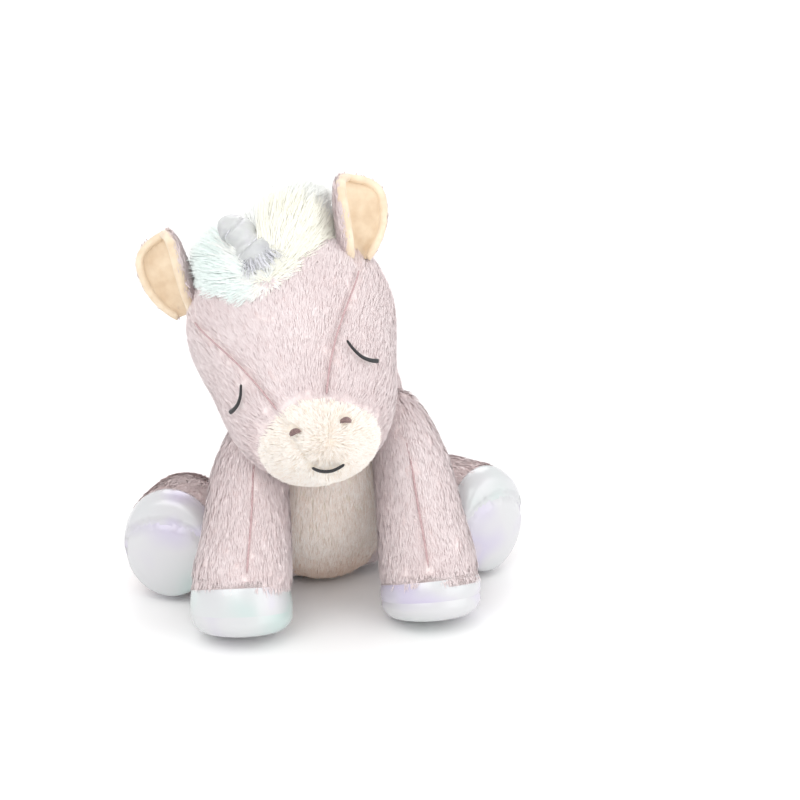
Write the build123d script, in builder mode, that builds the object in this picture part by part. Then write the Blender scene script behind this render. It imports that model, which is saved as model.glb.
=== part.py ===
"""Sitting plush unicorn: sewn covers over stuffing, soft hoofs, horn, mane and tail.

+Z is up and the toy faces -Y.  The origin is the middle of the patch that the seat
rests on, and every length is in millimetres.
"""
import os

from build123d import *

# ---- Cloth and clearances ----
CLOTH = 1.8          # a pile cover: its backing and the roots of its pile
GAP = 0.2            # air between a cover and its stuffing
JOINT_GAP = 0.6      # room around a part that swings
STITCH = 0.8         # how far a satin stitch stands off its panel

# ---- Torso: a pear about a vertical axis ----
TORSO_AXIS = (2, 8)
SEAT_RADIUS, BELLY_RADIUS, CHEST_RADIUS = 25, 37, 29
BELLY_Z, TORSO_TOP = 26, 58
TUMMY_CENTRE_Z = 29
TUMMY_HALF = (19, 24)
BEAN_POUCH_RADIUS = 16
NECK_PIVOT = (4, 6, 73)
NECK_RADIUS = 25

# ---- Head: an egg about its own Y axis, crown at +Y and nose at -Y ----
HEAD_CENTRE = (-13, -19, 124)
VIEW_AXIS = (-0.187, -0.921, 0.342)
HEAD_ROLL = 15       # about the line from the face to a viewer
HEAD_TURN = -11.5
HEAD_NOD = 44
HEAD_TWIST = 12      # about the egg's own axis
HEAD_RADIUS = 45
CROWN_Y = 43
CHEEK_Y, CHEEK_RADIUS = -26, 38
SNOUT_Y, SNOUT_RADIUS = -53, 29
NOSE_Y = -71
MUZZLE_SEAM_Y = -50
BACK_SEAM_Y = 22
MAGNET_AT, MAGNET_RADIUS, MAGNET_DEPTH = 64.8, 5, 3
GUSSET_HALF = (11, 33)    # half width of the forehead gusset at the muzzle and at the crown

# ---- Face, in the head's own frame ----
FACE_TURN = 12       # how far the stitching sits round the egg from its top
EYE_ANGLE = 48       # from the face's middle line round to each eye
EYE_Y, EYE_ARC_RADIUS, EYE_WIDTH = -29, 10, 1.8
EYE_SLANT = 20       # the outer ends lie nearer the muzzle
NOSTRIL_AT, NOSTRIL_HALF = (9.4, 20.5), (2.4, 1.7)
SMILE_Z, SMILE_RADIUS, SMILE_WIDTH = 3, 9, 1.5

# ---- Mane, horn and ears, in the head's own frame ----
MANE_THICKNESS = 9
MANE_HALF = 25
MANE_FRONT_Y = 4
HORN_BASE = (-2, 4, 39)          # inside the head, which trims the horn's foot
HORN_ALONG = (0, 0.88, 0.47)
HORN_LENGTH, HORN_PINCH_AT = 40, 24
HORN_RADII = (9, 6.5, 7.5, 3)    # base, pinch, upper bulge, tip
HORN_CLOTH, THREAD_RADIUS = 0.8, 0.5
EAR_LENGTH, EAR_WIDTH, EAR_CLOTH = 38, 26, 2.4
EAR_ROOT = (44.9, 17.2, 19.6)
EAR_ALONG = (0.24, 0.93, -0.2)
EAR_FACING = (0.6, 0.1, 0.79)

# ---- Legs ----
SHOULDER = {"left": (-38, -19, 57), "right": (42, -20, 57)}
FRONT_HOOF = {"left": (-42, -59, 0), "right": (40, -58, 0)}
SHOULDER_RADIUS, FRONT_RADIUS = 13, 20.5
FRONT_BAND = 20      # height of the shiny hoof band above the floor
HIP = {"left": (-54, 23, 21), "right": (57, 23, 21)}
HIND_SOLE = {"left": (-73, -12, 21), "right": (77, -12, 21)}
HIP_RADIUS, HIND_RADIUS = 15, 21
HIND_BAND = 12
SOLE_CLOTH = 1.6
SIDES = {"left": -1, "right": 1}

# ---- Tail ----
TAIL_ROOT = (2, 53.8, 34)
TAIL_TIP = (2, 88, 11)
TAIL_ROOT_RADIUS, TAIL_RADIUS = 6, 10

LABEL = (15, 0.8, 18)
LABEL_ANGLE = 38     # degrees round the rump from the tail

ORIGIN = (0, 0, 0)


def turned(axis, angle):
    return Location(ORIGIN, axis, angle)


HEAD = (
    Location(HEAD_CENTRE)
    * turned(VIEW_AXIS, HEAD_ROLL)
    * turned((0, 0, 1), HEAD_TURN)
    * turned((1, 0, 0), HEAD_NOD)
    * turned((0, -1, 0), HEAD_TWIST)
)


def aimed(start, along, sideways=(1, 0, 0)):
    """A plane at start with its Z axis along a direction."""
    z_dir = Vector(*along).normalized()
    across = Vector(*sideways) - z_dir * z_dir.dot(Vector(*sideways))
    return Plane(origin=start, x_dir=across.normalized(), z_dir=z_dir)


def torso_pear(shrink):
    """The torso's outer shape, smaller all round by shrink."""
    top = TORSO_TOP - shrink
    with BuildPart() as pear:
        with BuildSketch(Plane.XZ):
            with BuildLine():
                side = Spline(
                    (SEAT_RADIUS - shrink, shrink),
                    (BELLY_RADIUS - shrink, BELLY_Z),
                    (CHEST_RADIUS - shrink, top),
                    tangents=[(1, 0.6), (-0.4, 1)],
                )
                Polyline(side @ 1, (0, top), (0, shrink), side @ 0)
            make_face()
        revolve(axis=Axis.Z)
    return Location((*TORSO_AXIS, 0)) * pear.part


def head_egg(shrink):
    """The head's outer shape in its own frame, smaller all round by shrink."""
    with BuildPart() as egg:
        with BuildSketch(Plane.XY):
            with BuildLine():
                outline = Spline(
                    (0, CROWN_Y - shrink),
                    (HEAD_RADIUS - shrink, 0),
                    (CHEEK_RADIUS - shrink, CHEEK_Y),
                    (SNOUT_RADIUS - shrink, SNOUT_Y),
                    (0, NOSE_Y + shrink),
                    tangents=[(1, 0), (-1, 0)],
                )
                Line(outline @ 1, outline @ 0)
            make_face()
        revolve(axis=Axis.Y)
    return egg.part


def neck_ball(grow):
    with BuildPart() as neck:
        with Locations(NECK_PIVOT):
            Sphere(NECK_RADIUS + grow)
    return neck.part


def magnet(grow):
    """The flat disc sewn in behind the nose, longer towards the nose by twenty grows."""
    with BuildPart() as disc:
        with BuildSketch(Plane.XZ.offset(MAGNET_AT - grow)):
            Circle(MAGNET_RADIUS + grow)
        extrude(amount=MAGNET_DEPTH + 20 * grow)
    return disc.part


def limb(start, end, radii, shrink, extra=0):
    """A rounded limb: a ball at start, then a cone that widens to a straight tube."""
    root, wide = (radius - shrink for radius in radii)
    along = Vector(*end) - Vector(*start)
    length = along.length + extra - shrink
    middle = along.length / 2
    with BuildPart() as solid:
        with BuildSketch(Plane.XZ):
            with BuildLine():
                Polyline((0, -root), (0, length), (wide, length), (wide, middle), (root, 0))
                CenterArc(ORIGIN, root, 270, 90)
            make_face()
        revolve(axis=Axis.Z)
    return aimed(start, along).location * solid.part


def save(part, label, place=None):
    """Labels a finished piece and writes it as its own STEP file."""
    finished = part if place is None else place * part
    finished.label = label
    export_step(finished, f"parts/{label}.step")


# ---------------------------------------------------------------- torso and neck
def make_torso():
    with BuildPart() as shell:
        add(torso_pear(0))
        add(torso_pear(CLOTH), mode=Mode.SUBTRACT)
        add(neck_ball(JOINT_GAP), mode=Mode.SUBTRACT)

    with BuildPart() as window:
        with BuildSketch(Plane.XZ):
            with Locations((TORSO_AXIS[0], TUMMY_CENTRE_Z)):
                Ellipse(*TUMMY_HALF)
        extrude(amount=80)

    with BuildPart() as tummy_panel:
        add(shell.part)
        add(window.part, mode=Mode.INTERSECT)
    save(tummy_panel.part, "tummy_panel")

    for side, keep in (("left", Keep.BOTTOM), ("right", Keep.TOP)):
        with BuildPart() as torso_side:
            add(shell.part)
            add(window.part, mode=Mode.SUBTRACT)
            split(bisect_by=Plane.YZ.offset(TORSO_AXIS[0]), keep=keep)
        save(torso_side.part, f"torso_cover_{side}")

    pouch = (*TORSO_AXIS, CLOTH + 2 * GAP + BEAN_POUCH_RADIUS)
    with BuildPart() as bean_pouch:
        with Locations(pouch):
            Sphere(BEAN_POUCH_RADIUS - GAP)
    save(bean_pouch.part, "bean_pouch")

    with BuildPart() as torso_stuffing:
        add(torso_pear(CLOTH + GAP))
        add(neck_ball(JOINT_GAP), mode=Mode.SUBTRACT)
        with Locations(pouch):
            Sphere(BEAN_POUCH_RADIUS, mode=Mode.SUBTRACT)
    save(torso_stuffing.part, "torso_stuffing")

    with BuildPart() as neck_cover:
        add(neck_ball(0))
        add(neck_ball(-CLOTH), mode=Mode.SUBTRACT)
    save(neck_cover.part, "neck_cover")
    with BuildPart() as neck_stuffing:
        add(neck_ball(-CLOTH - GAP))
    save(neck_stuffing.part, "neck_stuffing")


# ---------------------------------------------------------------- head
def make_head():
    socket = HEAD.inverse() * neck_ball(JOINT_GAP)
    with BuildPart() as shell:
        add(head_egg(0))
        add(head_egg(CLOTH), mode=Mode.SUBTRACT)
        add(socket, mode=Mode.SUBTRACT)

    with BuildPart() as head_stuffing:
        add(head_egg(CLOTH + GAP))
        add(magnet(GAP), mode=Mode.SUBTRACT)
        add(socket, mode=Mode.SUBTRACT)
    save(head_stuffing.part, "head_stuffing", HEAD)
    save(magnet(0), "muzzle_magnet", HEAD)

    with BuildPart() as muzzle_panel:
        add(shell.part)
        split(bisect_by=Plane.XZ.offset(-MUZZLE_SEAM_Y), keep=Keep.TOP)
    save(muzzle_panel.part, "muzzle_panel", HEAD)

    with BuildPart() as head_back_panel:
        add(shell.part)
        split(bisect_by=Plane.XZ.offset(-BACK_SEAM_Y), keep=Keep.BOTTOM)
    save(head_back_panel.part, "head_back_panel", HEAD)

    with BuildPart() as ring:
        add(shell.part)
        split(bisect_by=Plane.XZ.offset(-MUZZLE_SEAM_Y), keep=Keep.BOTTOM)
        split(bisect_by=Plane.XZ.offset(-BACK_SEAM_Y), keep=Keep.TOP)
    narrow, wide = GUSSET_HALF
    with BuildPart() as gusset:
        with BuildSketch(Plane.XY.offset(HEAD_RADIUS / 4)):
            with BuildLine():
                Polyline(
                    (-narrow, 2 * MUZZLE_SEAM_Y), (narrow, 2 * MUZZLE_SEAM_Y),
                    (narrow, MUZZLE_SEAM_Y), (wide, 0), (wide, HEAD_RADIUS),
                    (-wide, HEAD_RADIUS), (-wide, 0), (-narrow, MUZZLE_SEAM_Y),
                    close=True,
                )
            make_face()
        extrude(amount=HEAD_RADIUS)
    with BuildPart() as forehead_panel:
        add(ring.part)
        add(gusset.part, mode=Mode.INTERSECT)
    save(forehead_panel.part, "forehead_panel", HEAD)
    for side, keep in (("left", Keep.BOTTOM), ("right", Keep.TOP)):
        with BuildPart() as cheek:
            add(ring.part)
            add(gusset.part, mode=Mode.SUBTRACT)
            split(bisect_by=Plane.YZ, keep=keep)
        save(cheek.part, f"cheek_{side}", HEAD)


# ---------------------------------------------------------------- face
def make_face_stitches():
    """Satin stitching as a thin raised layer over the head, one solid for each shape."""
    face = HEAD * turned((0, 1, 0), FACE_TURN)
    with BuildPart() as layer:
        add(head_egg(-STITCH))
        add(head_egg(-0.05), mode=Mode.SUBTRACT)
        with Locations((0, HEAD_RADIUS + BACK_SEAM_Y, 0)):
            Box(120, 2 * HEAD_RADIUS, 120, mode=Mode.SUBTRACT)

    for side, sign in SIDES.items():
        slant = turned((0, 0, -sign), EYE_SLANT)
        outward = turned((0, sign, 0), EYE_ANGLE) * Location((0, EYE_Y, 0)) * slant
        with BuildPart() as outline:
            with BuildSketch(Plane(outward)):
                with BuildLine():
                    arc = CenterArc((0, EYE_ARC_RADIUS / 2), EYE_ARC_RADIUS, 235, 70)
                SlotArc(arc, EYE_WIDTH)
            extrude(amount=HEAD_RADIUS + 5)
        with BuildPart() as eye:
            add(layer.part)
            add(outline.part, mode=Mode.INTERSECT)
        save(eye.part, f"eye_{side}", face)

        with BuildPart() as outline:
            with BuildSketch(Plane.XZ.offset(40)):
                with Locations((sign * NOSTRIL_AT[0], NOSTRIL_AT[1])):
                    Ellipse(*NOSTRIL_HALF)
            extrude(amount=50)
        with BuildPart() as nostril:
            add(layer.part)
            add(outline.part, mode=Mode.INTERSECT)
        save(nostril.part, f"nostril_{side}", face)

    with BuildPart() as outline:
        with BuildSketch(Plane.XZ.offset(40)):
            with BuildLine():
                arc = CenterArc((0, SMILE_Z + SMILE_RADIUS), SMILE_RADIUS, 225, 90)
            SlotArc(arc, SMILE_WIDTH)
        extrude(amount=50)
    with BuildPart() as smile:
        add(layer.part)
        add(outline.part, mode=Mode.INTERSECT)
    save(smile.part, "smile", face)


# ---------------------------------------------------------------- horn, mane and ears
def horn_cone(shrink):
    """The horn's two soft bulges, in a frame with Z up the horn."""
    base, pinch, bulge, tip = (radius - shrink for radius in HORN_RADII)
    top = HORN_LENGTH - shrink
    with BuildPart() as cone:
        with BuildSketch(Plane.XZ):
            with BuildLine():
                side = Spline(
                    (base, shrink),
                    (pinch, HORN_PINCH_AT),
                    (bulge, HORN_PINCH_AT + 6),
                    (tip, top),
                    tangents=[(0, 1), (-1, 0.6)],
                )
                Polyline(side @ 1, (0, top), (0, shrink), side @ 0)
            make_face()
        revolve(axis=Axis.Z)
    return cone.part


def make_horn():
    stand = aimed(HORN_BASE, HORN_ALONG).location
    with BuildPart() as horn_cover:
        add(stand * horn_cone(0))
        add(stand * horn_cone(HORN_CLOTH), mode=Mode.SUBTRACT)
        add(head_egg(-GAP), mode=Mode.SUBTRACT)
    save(horn_cover.part, "horn_cover", HEAD)
    with BuildPart() as horn_stuffing:
        add(stand * horn_cone(HORN_CLOTH + GAP))
        add(head_egg(-GAP), mode=Mode.SUBTRACT)
    save(horn_stuffing.part, "horn_stuffing", HEAD)
    with BuildPart() as horn_thread:
        with Locations((0, 0, HORN_PINCH_AT)):
            Torus(HORN_RADII[1] + THREAD_RADIUS + GAP, THREAD_RADIUS)
    save(horn_thread.part, "horn_thread", HEAD * stand)


def make_mane():
    """Long pile over the crown: a thick layer on the head, open around the horn."""
    with BuildPart() as layer:
        add(head_egg(-MANE_THICKNESS))
        add(head_egg(-GAP), mode=Mode.SUBTRACT)
    with BuildPart() as horn_room:
        with BuildSketch(aimed(HORN_BASE, HORN_ALONG).offset(-20)):
            Circle(HORN_RADII[0] + 1)
        extrude(amount=60)
    centre_y = (MANE_FRONT_Y + 60) / 2
    for label, z, half in (("mane_front", 35, MANE_HALF), ("mane_back", -25, MANE_HALF - 5)):
        with BuildPart() as mane:
            add(layer.part)
            with Locations((0, centre_y, z)):
                Box(2 * half, 60 - MANE_FRONT_Y, 50, mode=Mode.INTERSECT)
            add(horn_room.part, mode=Mode.SUBTRACT)
            add(HEAD.inverse() * neck_ball(JOINT_GAP), mode=Mode.SUBTRACT)
        save(mane.part, label, HEAD)


def make_ears():
    """Each ear is a leaf of two layers, the lining towards the face."""
    for side, sign in SIDES.items():
        x, y, z = EAR_ROOT
        along = (sign * EAR_ALONG[0], *EAR_ALONG[1:])
        facing = (sign * EAR_FACING[0], *EAR_FACING[1:])
        leaf_plane = aimed((sign * x, y, z), facing, along)
        for layer, low in (("ear_outer", -EAR_CLOTH - GAP), ("ear_lining", 0)):
            with BuildPart() as leaf:
                with BuildSketch(Plane.XY.offset(low)):
                    with Locations((EAR_LENGTH / 2, 0)):
                        Ellipse(EAR_LENGTH / 2, EAR_WIDTH / 2)
                extrude(amount=EAR_CLOTH)
            save(leaf.part, f"{layer}_{side}", HEAD * leaf_plane.location)


# ---------------------------------------------------------------- legs
def cut_leg(solid, low, high):
    """The part of a leg between two heights above the floor."""
    with BuildPart() as slice_:
        add(solid)
        with Locations((0, 0, (low + high) / 2)):
            Box(400, 400, high - low, mode=Mode.INTERSECT)
    return slice_.part


def make_front_leg(side):
    radii = (SHOULDER_RADIUS, FRONT_RADIUS)
    ends = (SHOULDER[side], FRONT_HOOF[side])
    outer = limb(*ends, radii, 0, 30)
    with BuildPart() as shell:
        add(outer)
        add(limb(*ends, radii, CLOTH, 40), mode=Mode.SUBTRACT)
    save(cut_leg(shell.part, FRONT_BAND, 120), f"front_leg_sleeve_{side}")
    save(cut_leg(shell.part, SOLE_CLOTH, FRONT_BAND), f"front_hoof_cover_{side}")
    save(cut_leg(outer, 0, SOLE_CLOTH), f"front_hoof_sole_{side}")
    stuffing = limb(*ends, radii, CLOTH + GAP, 30)
    save(cut_leg(stuffing, SOLE_CLOTH + GAP, 120), f"front_leg_stuffing_{side}")


def make_hind_leg(side):
    radii = (HIP_RADIUS, HIND_RADIUS)
    ends = (HIP[side], HIND_SOLE[side])
    along = Vector(*HIND_SOLE[side]) - Vector(*HIP[side])
    sole = Plane(origin=HIND_SOLE[side], z_dir=along.normalized())
    with BuildPart() as shell:
        add(limb(*ends, radii, 0))
        add(limb(*ends, radii, CLOTH, 10), mode=Mode.SUBTRACT)
    cuts = (sole.offset(-HIND_BAND), sole.offset(-SOLE_CLOTH))
    with BuildPart() as sleeve:
        add(shell.part)
        split(bisect_by=cuts[0], keep=Keep.BOTTOM)
    save(sleeve.part, f"hind_leg_sleeve_{side}")
    with BuildPart() as hoof_cover:
        add(shell.part)
        split(bisect_by=cuts[0], keep=Keep.TOP)
        split(bisect_by=cuts[1], keep=Keep.BOTTOM)
    save(hoof_cover.part, f"hind_hoof_cover_{side}")
    with BuildPart() as hoof_sole:
        add(limb(*ends, radii, 0))
        split(bisect_by=cuts[1], keep=Keep.TOP)
    save(hoof_sole.part, f"hind_hoof_sole_{side}")
    with BuildPart() as stuffing:
        add(limb(*ends, radii, CLOTH + GAP))
        split(bisect_by=cuts[1].offset(-GAP), keep=Keep.BOTTOM)
    save(stuffing.part, f"hind_leg_stuffing_{side}")


# ---------------------------------------------------------------- tail
def make_tail():
    """A sewn tab at the rump that holds a tuft of long pile."""
    radii = (TAIL_ROOT_RADIUS, TAIL_RADIUS)
    with BuildPart() as tail_tuft:
        add(limb(TAIL_ROOT, TAIL_TIP, radii, 0))
        with Locations(TAIL_ROOT):
            Sphere(TAIL_ROOT_RADIUS + 2, mode=Mode.SUBTRACT)
    save(tail_tuft.part, "tail_tuft")
    with BuildPart() as tail_tab:
        with Locations(TAIL_ROOT):
            Sphere(TAIL_ROOT_RADIUS + 1.8)
    save(tail_tab.part, "tail_tab")


def make_care_label():
    """A blank folded label sewn into the rump seam."""
    reach = BELLY_RADIUS + LABEL[1]
    swing = turned((0, 0, 1), LABEL_ANGLE) * Location((0, reach, LABEL[2] / 2 + 4))
    with BuildPart() as care_label:
        Box(*LABEL)
    save(care_label.part, "care_label", Location((*TORSO_AXIS, 0)) * swing)


if __name__ == "__main__":
    os.makedirs("parts", exist_ok=True)
    make_torso()
    make_head()
    make_face_stitches()
    make_horn()
    make_mane()
    make_ears()
    for leg_side in SIDES:
        make_front_leg(leg_side)
        make_hind_leg(leg_side)
    make_tail()
    make_care_label()
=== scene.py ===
"""The looks of the sitting plush unicorn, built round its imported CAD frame.

Every length is in millimetres until a mesh is made. A stuffed part is a skin, which is a
smooth closed form, with pile on it: tapered blades in small tufts that follow the nap.
"""

import bpy
import numpy as np
from mathutils import Matrix, Vector


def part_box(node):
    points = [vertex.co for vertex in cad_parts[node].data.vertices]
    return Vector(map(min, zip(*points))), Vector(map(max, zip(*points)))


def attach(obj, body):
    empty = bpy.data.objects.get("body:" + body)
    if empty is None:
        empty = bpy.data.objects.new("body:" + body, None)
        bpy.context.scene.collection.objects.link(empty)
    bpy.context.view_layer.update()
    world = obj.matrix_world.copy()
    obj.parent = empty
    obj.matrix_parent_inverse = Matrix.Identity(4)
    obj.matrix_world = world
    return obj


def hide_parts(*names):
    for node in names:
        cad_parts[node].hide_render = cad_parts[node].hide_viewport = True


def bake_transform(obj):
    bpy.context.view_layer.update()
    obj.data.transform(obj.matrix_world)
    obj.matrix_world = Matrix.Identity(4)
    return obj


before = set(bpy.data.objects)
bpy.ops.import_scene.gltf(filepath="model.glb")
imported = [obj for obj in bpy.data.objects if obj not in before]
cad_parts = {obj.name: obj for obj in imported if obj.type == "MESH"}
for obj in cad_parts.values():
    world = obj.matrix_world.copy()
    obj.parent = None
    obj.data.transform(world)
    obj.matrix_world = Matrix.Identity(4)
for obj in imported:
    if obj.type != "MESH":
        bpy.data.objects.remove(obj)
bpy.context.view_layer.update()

MM = 0.001
RANDOM = np.random.default_rng(11)
SIDES = {"left": -1, "right": 1}


# ---------------------------------------------------------------- vectors and curves
def unit(vectors):
    return vectors / np.maximum(np.linalg.norm(vectors, axis=-1, keepdims=True), 1e-9)


def dot(a, b):
    return (a * b).sum(-1, keepdims=True)


def flattened(vectors, normals):
    """The vectors laid into the surface, at unit length."""
    return unit(vectors - normals * dot(vectors, normals))


def spin(axis, degrees):
    return np.array(Matrix.Rotation(np.radians(degrees), 3, Vector(axis)))


def ease(x):
    """0 below 0, 1 above 1, smooth between."""
    x = np.clip(x, 0, 1)
    return x * x * (3 - 2 * x)


def through(points, count, mirrored=()):
    """count rows on a smooth curve through points. The mirrored columns change sign past
    each end, which rounds off a form whose radii reach zero there."""
    rows = np.array(points, float)
    before, after = 2 * rows[0] - rows[1], 2 * rows[-1] - rows[-2]
    if mirrored:
        before, after = rows[1].copy(), rows[-2].copy()
        before[list(mirrored)] *= -1
        after[list(mirrored)] *= -1
    rows = np.vstack([before, rows, after])
    knots = np.concatenate([[0], np.cumsum(np.linalg.norm(np.diff(rows, axis=0), axis=1))])
    slopes = (rows[2:] - rows[:-2]) / (knots[2:] - knots[:-2])[:, None]
    x = np.linspace(knots[1], knots[-2], count)
    i = np.clip(np.searchsorted(knots, x, side="right") - 1, 1, len(knots) - 3)
    span = (knots[i + 1] - knots[i])[:, None]
    s = (x - knots[i])[:, None] / span
    start = (2 * s**3 - 3 * s**2 + 1) * rows[i] + (s**3 - 2 * s**2 + s) * span * slopes[i - 1]
    end = (3 * s**2 - 2 * s**3) * rows[i + 1] + (s**3 - s**2) * span * slopes[i]
    return start + end


WAVES = RANDOM.normal(size=(9, 3))
PHASES = RANDOM.uniform(0, 6.28, 9)


def lumps(points, size):
    """Smooth noise from about -1 to 1 that changes over size millimetres."""
    return np.sin(points @ WAVES.T * (2 / size) + PHASES).sum(1) / 4.5


# ---------------------------------------------------------------- skins
def rings(centres, across, upward, around):
    """Ellipses in space, one ring of points for each row."""
    angle = np.linspace(0, 2 * np.pi, around, endpoint=False)
    waves = np.cos(angle)[None, :, None], np.sin(angle)[None, :, None]
    return centres[:, None] + waves[0] * across[:, None] + waves[1] * upward[:, None]


def closed_skin(grid):
    """Points and faces of a form whose first and last rings have shrunk to a point."""
    count, around = grid.shape[:2]
    points = np.vstack([grid[:1, 0], grid[1:-1].reshape(-1, 3), grid[-1:, 0]])
    column = np.arange(around)
    beside = (column + 1) % around
    faces = []
    for ring in range(count - 3):
        low, high = 1 + ring * around, 1 + (ring + 1) * around
        faces.append(np.stack([low + column, low + beside, high + beside, high + column], 1))
    quads = np.vstack(faces)
    last = len(points) - 1
    top = last - around
    start_fan = np.stack([np.zeros(around, int), 1 + beside, 1 + column], 1)
    end_fan = np.stack([np.full(around, last), top + column, top + beside], 1)
    return made_skin(points, quads, np.vstack([start_fan, end_fan]))


def strip_faces(rows, count):
    """Quads between rings of count points that follow each other."""
    column = np.arange(count)
    beside = (column + 1) % count
    faces = []
    for low in range(0, (rows - 1) * count, count):
        high = low + count
        faces.append(np.stack([low + column, low + beside, high + beside, high + column], 1))
    return np.vstack(faces)


def made_skin(points, quads, fans):
    triangles = np.vstack([quads[:, [0, 1, 2]], quads[:, [0, 2, 3]], fans])
    skin = {"points": points, "quads": quads, "fans": fans, "triangles": triangles}
    volume = np.einsum("ij,ij->i", *[points[triangles[:, 0]],
                       np.cross(points[triangles[:, 1]], points[triangles[:, 2]])]).sum()
    if volume < 0:
        skin["quads"], skin["fans"] = quads[:, ::-1], fans[:, ::-1]
        skin["triangles"] = triangles[:, ::-1]
    return with_normals(skin)


def with_normals(skin):
    points, triangles = skin["points"], skin["triangles"]
    corners = points[triangles]
    facing = np.cross(corners[:, 1] - corners[:, 0], corners[:, 2] - corners[:, 0])
    normals = np.zeros_like(points)
    for corner in range(3):
        np.add.at(normals, triangles[:, corner], facing)
    skin["normals"] = unit(normals)
    return skin


def pushed(skin, amount):
    """The skin moved along its normals."""
    skin["points"] = skin["points"] + skin["normals"] * np.reshape(amount, (-1, 1))
    return with_normals(skin)


def on_floor(skin):
    """A stuffed form rests flat: nothing goes under the floor."""
    heights = skin["points"][:, 2]
    skin["points"][:, 2] = np.where(heights < 1.5, 0.4 + 1.1 * np.exp((heights - 1.5) / 3), heights)
    return with_normals(skin)


def new_object(name, points, faces, materials, smooth=True):
    mesh = bpy.data.meshes.new(name)
    mesh.from_pydata((points * MM).tolist(), [], [list(map(int, face)) for face in faces])
    for material in materials:
        mesh.materials.append(material)
    mesh.polygons.foreach_set("use_smooth", [smooth] * len(mesh.polygons))
    made = bpy.data.objects.new(name, mesh)
    bpy.context.scene.collection.objects.link(made)
    return made


def skin_object(name, skin, material):
    faces = skin["quads"].tolist() + skin["fans"].tolist()
    return new_object(name, skin["points"], faces, [material])


# ---------------------------------------------------------------- materials
def linear(colour):
    """An sRGB colour from 0 to 255 as the linear one that a shader takes."""
    part = np.array(colour, float) / 255
    low, high = part / 12.92, ((part + 0.055) / 1.055) ** 2.4
    return (*np.where(part <= 0.04045, low, high).tolist(), 1.0)


def shader(name, roughness, **settings):
    """A node material with these plain numbers on its Principled shader."""
    material = bpy.data.materials.new(name)
    material.use_nodes = True
    principled = material.node_tree.nodes["Principled BSDF"]
    principled.inputs["Roughness"].default_value = roughness
    for socket, value in settings.items():
        principled.inputs[socket.replace("_", " ")].default_value = value
    return material, principled


def noise(material, scale, detail=3.0):
    nodes = material.node_tree.nodes
    place = nodes.new("ShaderNodeTexCoord")
    texture = nodes.new("ShaderNodeTexNoise")
    texture.inputs["Scale"].default_value = scale
    texture.inputs["Detail"].default_value = detail
    material.node_tree.links.new(place.outputs["Object"], texture.inputs["Vector"])
    return texture.outputs["Fac"]


def coloured(material, principled, value, stops):
    """Colours the surface by a ramp over a value. stops are (position, sRGB colour)."""
    ramp = material.node_tree.nodes.new("ShaderNodeValToRGB")
    elements = ramp.color_ramp.elements
    while len(elements) < len(stops):
        elements.new(0.5)
    for element, (position, colour) in zip(elements, stops):
        element.position = position
        element.color = linear(colour)
    material.node_tree.links.new(value, ramp.inputs["Fac"])
    material.node_tree.links.new(ramp.outputs["Color"], principled.inputs["Base Color"])


def bumped(material, principled, value, strength, distance):
    bump = material.node_tree.nodes.new("ShaderNodeBump")
    bump.inputs["Strength"].default_value = strength
    bump.inputs["Distance"].default_value = distance
    material.node_tree.links.new(value, bump.inputs["Height"])
    material.node_tree.links.new(bump.outputs["Normal"], principled.inputs["Normal"])


def weave(material, pitch):
    """A fine over-and-under weave, as a height."""
    nodes, links = material.node_tree.nodes, material.node_tree.links
    place = nodes.new("ShaderNodeTexCoord")
    bands = []
    for direction in ("X", "Z"):
        wave = nodes.new("ShaderNodeTexWave")
        wave.bands_direction = direction
        wave.inputs["Scale"].default_value = 1 / pitch
        wave.inputs["Distortion"].default_value = 0.6
        links.new(place.outputs["Object"], wave.inputs["Vector"])
        bands.append(wave.outputs["Fac"])
    product = nodes.new("ShaderNodeMath")
    product.operation = "MULTIPLY"
    links.new(bands[0], product.inputs[0])
    links.new(bands[1], product.inputs[1])
    return product.outputs["Value"]


def backing(name, dark, light):
    """The knitted backing under a pile, seen only between its tufts."""
    material, principled = shader(name, 0.95, Sheen_Weight=0.2)
    coloured(material, principled, noise(material, 220), [(0.35, dark), (0.65, light)])
    bumped(material, principled, weave(material, 0.002), 0.3, 0.0004)
    return material


def pearl_cloth(name, scale, whiteness):
    """Coated cloth with a pastel play of colour, and a weave that shows in its gloss. The pastel
    patches are painted reflection: they stand in for the coating's iridescence.
    """
    material, principled = shader(
        name, 0.27, Coat_Weight=0.5, Coat_Roughness=0.12, Metallic=0.12)
    # Pastel patches over a near-white: painted iridescent reflection; whiteness blends them toward the
    # plain near-white.
    stops = [(0.30, (170, 208, 201)), (0.42, (200, 207, 208)), (0.52, (205, 204, 210)),
             (0.62, (184, 170, 214)), (0.72, (212, 192, 204))]
    stops = [(place, tuple(c + (206 - c) * whiteness for c in colour)) for place, colour in stops]
    coloured(material, principled, noise(material, scale, 1.5), stops)
    bumped(material, principled, weave(material, 0.0011), 0.12, 0.0002)
    return material


def velour(name, dark, light):
    material, principled = shader(name, 0.9, Sheen_Weight=0.5, Sheen_Roughness=0.4)
    coloured(material, principled, noise(material, 160), [(0.3, dark), (0.7, light)])
    bumped(material, principled, noise(material, 2600, 2.0), 0.35, 0.0004)
    return material


def thread(name, dark, light):
    """Satin stitch: fine strands across the stitch show as light and dark."""
    material, principled = shader(name, 0.45, Sheen_Weight=0.2)
    coloured(material, principled, noise(material, 1500), [(0.35, dark), (0.7, light)])
    bumped(material, principled, noise(material, 3000), 0.4, 0.0003)
    return material


def silver_knit():
    material, principled = shader(
        "silver_fabric", 0.34, Metallic=0.35, Coat_Weight=0.35, Coat_Roughness=0.2)
    stops = [(0.3, (190, 191, 195)), (0.5, (208, 210, 209)), (0.7, (216, 213, 220))]
    coloured(material, principled, noise(material, 90), stops)
    bumped(material, principled, weave(material, 0.0012), 0.5, 0.0004)
    return material


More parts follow.
